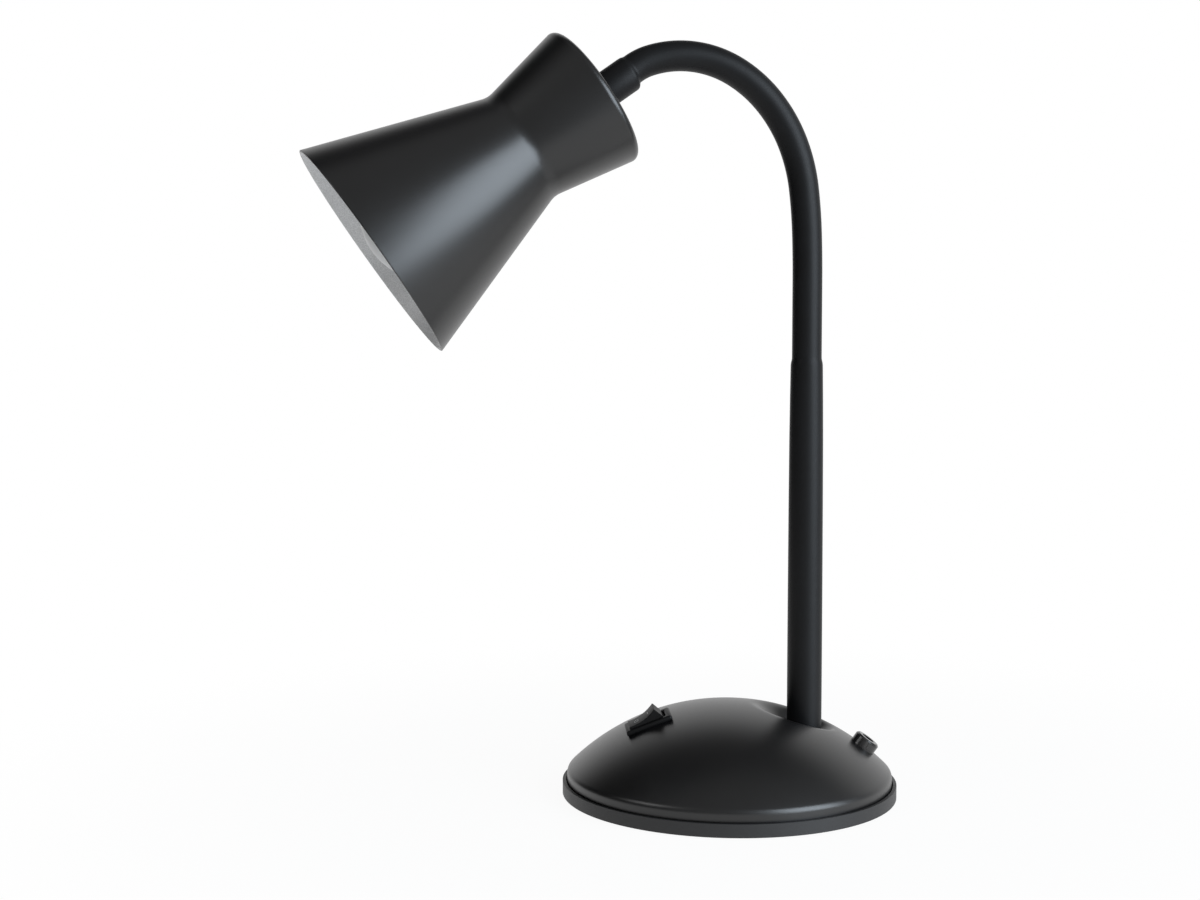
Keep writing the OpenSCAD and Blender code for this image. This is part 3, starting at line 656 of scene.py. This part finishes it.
def mould_rocker():
    swing = math.degrees(math.asin(rocker_half / rocker_top_r))
    dish = arc(0, rocker_tip - rocker_dip + rocker_top_r, rocker_top_r, -90 + swing, -90 - swing, 20)
    left = [(-8.5, 3.6), (-8.9, 0.5), (-8, -1.5)]
    right = [(-x, z) for x, z in reversed(left)]
    piece = draw_outline("rocker_button", dish + left + right)
    bpy.ops.mesh.select_all(action="SELECT")
    bpy.ops.mesh.edge_face_add()
    bpy.ops.transform.translate(value=(0, -rocker_w / 2 * mm, 0))
    extrude_by(0, rocker_w, 0)
    bpy.ops.mesh.select_all(action="SELECT")
    bpy.ops.mesh.normals_make_consistent(inside=False)
    pick(piece, "edges", lambda e: middle(e).z > 2.5 * mm and len(e.link_faces) == 2
         and e.calc_face_angle() > math.radians(50))
    bpy.ops.mesh.bevel(offset=rocker_round * mm, segments=4, affect="EDGES")
    close_up(piece)
    settle(piece, rocker_place)
    smooth(piece, 35)
    paint(piece, finishes["moulded"])
    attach(piece, "rocker")
    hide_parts("switch_rocker")


def dish_place(x):
    """Place on the rocker's hollow top, turned to lie flat on it."""
    centre = Matrix.Translation((0, 0, (rocker_tip - rocker_dip + rocker_top_r) * mm))
    lean = Matrix.Rotation(-math.asin(x / rocker_top_r), 4, "Y")
    return rocker_place @ centre @ lean @ Matrix.Translation((0, 0, -rocker_top_r * mm))


def ring_mark():
    proud, depth, ring_r, hole_share = 0.03, 0.12, 1.35, 0.72
    top = (0, 0, proud * mm)
    clear_selection()
    bpy.ops.mesh.primitive_circle_add(vertices=40, radius=ring_r * mm, location=top)
    ring = start("rocker_mark_off")
    bpy.ops.mesh.extrude_edges_move()
    bpy.ops.transform.resize(value=(hole_share, hole_share, 1), center_override=top)
    bpy.ops.mesh.select_all(action="SELECT")
    extrude_by(0, 0, -depth)
    close_up(ring)
    return ring


def bar_mark():
    bar = rounded_block("rocker_mark_on", (2.7, 0.42, 0.14), (0, 0, 0), 0.12, 2)
    pick(bar, "edges", lambda e: middle(e).z > 0.05 * mm and rise(e) < 0.01 * mm)
    bpy.ops.mesh.bevel(offset=0.02 * mm, segments=2, affect="EDGES")
    close_up(bar)
    return bar


def print_marks():
    for mark, x, turned in ((ring_mark(), off_mark_x, 0), (bar_mark(), on_mark_x, 90)):
        settle(mark, dish_place(x) @ Matrix.Rotation(math.radians(turned), 4, "Z"))
        smooth(mark)
        paint(mark, finishes["printed"])
        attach(mark, "rocker")


# Shade and bulb

shade_len = 127
mouth_r = 55
lip_round = 0.28
stud_hole_r = 5.1
glass_wall = 0.8


def shade_outline():
    rear_r, edge_r, waist_r, waist_z, bend_r = 34.6, 3, 26.9, 43, 12
    rear_a = math.degrees(math.atan2(rear_r - waist_r, waist_z))
    front_a = math.degrees(math.atan2(mouth_r - waist_r, shade_len - waist_z))
    half = math.radians((rear_a + front_a) / 2)
    lean = math.radians((rear_a - front_a) / 2)
    reach = bend_r / math.cos(half)
    bend_x = waist_r + reach * math.cos(lean)
    bend_z = waist_z + reach * math.sin(lean)
    hub = [(stud_hole_r, 0), (12, 0), (22, 0)]
    rear = arc(rear_r - edge_r, edge_r, edge_r, -90, rear_a, 10)
    waist = arc(bend_x, bend_z, bend_r, 180 + rear_a, 180 - front_a, 12)
    return hub + rear + waist + [(mouth_r, shade_len)]


def spin_shade():
    piece = draw_outline("lamp_shade", shade_outline())
    turn_outline(piece, 160)
    paint(piece, finishes["enamel"], finishes["silver"])
    give_wall(piece, shell_wall * mm, inside_slot=1)
    bpy.ops.object.mode_set(mode="EDIT")
    pick(piece, "edges", lambda e: e.is_manifold and middle(e).z > (shade_len - 0.8) * mm
         and e.calc_face_angle() > math.radians(60))
    bpy.ops.mesh.bevel(offset=lip_round * mm, segments=3, affect="EDGES")
    bpy.ops.object.mode_set(mode="OBJECT")
    smooth(piece, 40)
    settle(piece, shade_place)
    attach(piece, "head")
    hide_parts("shade_shell")


def blow_globe():
    globe_r, globe_z, throat_r, cap_top, foot = 30, 96.5, 12.7, 46.5, 34.5
    rise_to_ball = globe_z - cap_top
    swell = (throat_r ** 2 + rise_to_ball ** 2 - globe_r ** 2) / (2 * (globe_r - throat_r))
    lean = math.degrees(math.asin(rise_to_ball / (globe_r + swell)))
    throat = [(throat_r, foot), (throat_r, 40)]
    flare = arc(throat_r + swell, cap_top, swell, 180, 180 - lean, 14)
    ball = arc(0, globe_z, globe_r, -lean, 89.6, 34)
    piece = draw_outline("bulb_glass", throat + flare + ball[1:] + [(0, globe_z + globe_r)])
    turn_outline(piece, 96)
    give_wall(piece, glass_wall * mm)
    smooth(piece, 50)
    settle(piece, shade_place)
    paint(piece, finishes["glass"])
    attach(piece, "head")
    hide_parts("bulb_globe")


# Pieces kept from the construction model, with their finishes

def metal_finish(name, dark, light, rough, grain, height, metal=1.0):
    return plain_finish(name, dark, light, rough, grain, height, metal=metal)


def insulation(name, dark, light):
    return plain_finish(name, dark, light, (0.4, 0.5), 1800, 0.006)


def finishes_by_slot():
    steel = metal_finish("bare_steel", (0.42, 0.42, 0.43), (0.55, 0.55, 0.56), (0.28, 0.4), 1800, 0.01)
    zinc = metal_finish("zinc_plate", (0.5, 0.51, 0.53), (0.62, 0.63, 0.64), (0.25, 0.4), 900, 0.01)
    iron = metal_finish("cast_iron", (0.09, 0.085, 0.08), (0.15, 0.14, 0.13), (0.6, 0.8), 700, 0.08,
                        metal=0.8)
    brass = metal_finish("brass", (0.62, 0.45, 0.2), (0.72, 0.54, 0.27), (0.25, 0.38), 1400, 0.008)
    pad = plain_finish("pad_foam", (0.014, 0.014, 0.014), (0.024, 0.024, 0.024), (0.8, 0.95), 1600, 0.12)
    white = plain_finish("white_plastic", (0.7, 0.7, 0.67), (0.78, 0.78, 0.75), (0.35, 0.45),
                         1500, 0.006)
    brown = insulation("brown_insulation", (0.09, 0.04, 0.02), (0.13, 0.06, 0.03))
    black = insulation("black_insulation", (0.012, 0.012, 0.012), (0.02, 0.02, 0.02))
    blue = insulation("blue_insulation", (0.02, 0.07, 0.25), (0.03, 0.1, 0.32))
    cap = metal_finish("bulb_cap_metal", (0.6, 0.6, 0.6), (0.7, 0.7, 0.7), (0.25, 0.35), 1500, 0.01)
    dark = plain_finish("bulb_foot_glass", (0.02, 0.02, 0.02), (0.04, 0.04, 0.04), (0.2, 0.3),
                        1500, 0.004)
    return {
        "satin_black": finishes["enamel"], "rim_charcoal": finishes["tray"], "welded_steel": steel,
        "pad_rubber": pad, "iron": iron, "zinc": zinc, "brass": brass,
        "sleeve_rubber": finishes["rubber"], "core_steel": steel, "black_plastic": finishes["moulded"],
        "white_plastic": white, "lead_brown": brown, "lead_black": black, "lead_blue": blue,
        "bulb_metal": cap, "bulb_contact_dark": dark, "frosted_glass": finishes["glass"]}


def dress_kept_pieces():
    finish_for = finishes_by_slot()
    for part in frame["record"]["subparts"]:
        paint(frame["nodes"][part["node"]], finish_for[part["material_slot"]])
    for name in ("gland_body", "gland_wedge"):
        paint(frame["nodes"][name], finishes["nylon"])


# Floor, sky and lamps

def work_out(tree, operation, first, second):
    result = tree.nodes.new("ShaderNodeMath")
    result.operation = operation
    tree.links.new(first, result.inputs[0])
    tree.links.new(second, result.inputs[1])
    return result.outputs[0]


def soft_share(tree, source, first, last, low, high):
    return map_range(tree, source, first, last, low, high, "SMOOTHSTEP").outputs["Result"]


def mirrored_or_through(tree, rays):
    """1 for glossy and transmitted rays, which see the white backdrop as the camera does."""
    return work_out(tree, "MAXIMUM", rays.outputs["Is Glossy Ray"], rays.outputs["Is Transmission Ray"])


def lay_floor():
    """Pale floor, all but white to the eye near the lamp, where it keeps the shadow, and white far off."""
    clear_selection()
    bpy.ops.mesh.primitive_circle_add(vertices=96, radius=0.7, fill_type="NGON", location=(0, 0, -0.0002))
    floor = bpy.context.object
    floor.name = "studio_floor"
    finish, shader = new_finish("pale_floor", gloss=0.1)
    tree = finish.node_tree
    nodes, links = tree.nodes, tree.links
    shader.inputs["Base Color"].default_value = (0.92, 0.92, 0.92, 1)
    shader.inputs["Roughness"].default_value = 0.9
    length = nodes.new("ShaderNodeVectorMath")
    length.operation = "LENGTH"
    links.new(nodes.new("ShaderNodeTexCoord").outputs["Object"], length.inputs[0])
    far = soft_share(tree, length.outputs["Value"], 0.12, 0.45, 0.94, 1)
    rays = nodes.new("ShaderNodeLightPath")
    seen = work_out(tree, "MAXIMUM", rays.outputs["Is Camera Ray"], mirrored_or_through(tree, rays))
    glow = nodes.new("ShaderNodeEmission")
    mix = nodes.new("ShaderNodeMixShader")
    links.new(work_out(tree, "MULTIPLY", seen, far), mix.inputs["Fac"])
    links.new(shader.outputs["BSDF"], mix.inputs[1])
    links.new(glow.outputs["Emission"], mix.inputs[2])
    links.new(mix.outputs["Shader"], nodes["Material Output"].inputs["Surface"])
    paint(floor, finish)


def share_towards(tree, place, direction, first, last, low, high):
    """A value that goes from low to high as the view turns towards a direction."""
    side = tree.nodes.new("ShaderNodeVectorMath")
    side.operation = "DOT_PRODUCT"
    side.inputs[1].default_value = direction
    tree.links.new(place, side.inputs[0])
    return soft_share(tree, side.outputs["Value"], first, last, low, high)


def light_sky():
    """Plain room light: white backdrop behind, dimmer overhead, behind the camera and on the left."""
    world = bpy.data.worlds.new("studio")
    bpy.context.scene.world = world
    world.use_nodes = True
    tree = world.node_tree
    nodes, links = tree.nodes, tree.links
    place = nodes.new("ShaderNodeTexCoord").outputs["Generated"]
    front_to_back = share_towards(tree, place, (0, 1, 0), -0.05, 0.3, 0.37, 0.06)
    darker_left = share_towards(tree, place, (-0.95, 0.3, 0), 0.3, 0.65, 1, 0.1)
    walls = work_out(tree, "MULTIPLY", front_to_back, darker_left)
    behind = share_towards(tree, place, (0.342, 0.94, 0), 0.39, 0.85, 0, 1)
    below_ceiling = share_towards(tree, place, (0, 0, -1), -0.87, -0.6, 0, 1)
    backdrop = work_out(tree, "MULTIPLY", behind, below_ceiling)
    level = map_range(tree, backdrop, 0, 1, 0, 0.8)
    links.new(walls, level.inputs["To Min"])
    room = nodes["Background"]
    room.inputs["Color"].default_value = (1, 1, 1, 1)
    links.new(level.outputs["Result"], room.inputs["Strength"])
    white = nodes.new("ShaderNodeBackground")
    white.inputs["Color"].default_value = (1, 1, 1, 1)
    rays = nodes.new("ShaderNodeLightPath")
    shown = work_out(tree, "MULTIPLY", mirrored_or_through(tree, rays), backdrop)
    mix = nodes.new("ShaderNodeMixShader")
    links.new(work_out(tree, "MAXIMUM", rays.outputs["Is Camera Ray"], shown), mix.inputs["Fac"])
    links.new(room.outputs["Background"], mix.inputs[1])
    links.new(white.outputs["Background"], mix.inputs[2])
    links.new(mix.outputs["Shader"], nodes["World Output"].inputs["Surface"])


def add_softbox(name, location, target, size, power, colour=(1, 1, 1)):
    """Soft lamp at a place in metres, aimed at a point, with its power in watts."""
    data = bpy.data.lights.new(name, "AREA")
    data.color = colour
    data.shape = "RECTANGLE"
    data.size, data.size_y = size
    data.energy = power
    lamp = bpy.data.objects.new(name, data)
    lamp.location = location
    aim = Vector(target) - Vector(location)
    lamp.rotation_euler = aim.to_track_quat("-Z", "Y").to_euler()
    bpy.context.collection.objects.link(lamp)


def light_studio():
    light_sky()
    lay_floor()
    add_softbox("softbox_right", location=(1.12, -0.99, 0.6), target=(-0.1, -0.04, 0.27),
                size=(1.2, 1.35), power=34, colour=(0.8, 0.9, 1.0))
    add_softbox("softbox_left", location=(-1.02, -0.36, 0.8), target=(0, 0, 0.1),
                size=(0.5, 0.4), power=1.9)


finishes = {
    "enamel": satin_black_enamel(),
    "silver": speckled_silver_paint(),
    "rubber": sleeve_rubber(),
    "tray": charcoal_tray_paint(),
    "moulded": moulded_black("moulded_black_plastic", 0.4, 0.18),
    "nylon": moulded_black("gland_nylon", 0.2, 0.9),
    "printed": printed_grey(),
    "glass": frosted_glass(),
}

add_camera()
dress_kept_pieces()
sleeve_foot()
for number in range(1, 8):
    sleeve_length(number)
sleeve_collar()
press_dome()
mould_bezel()
mould_rocker()
print_marks()
spin_shade()
blow_globe()
light_studio()

bpy.context.scene.view_settings.view_transform = "Standard"

clear_selection()
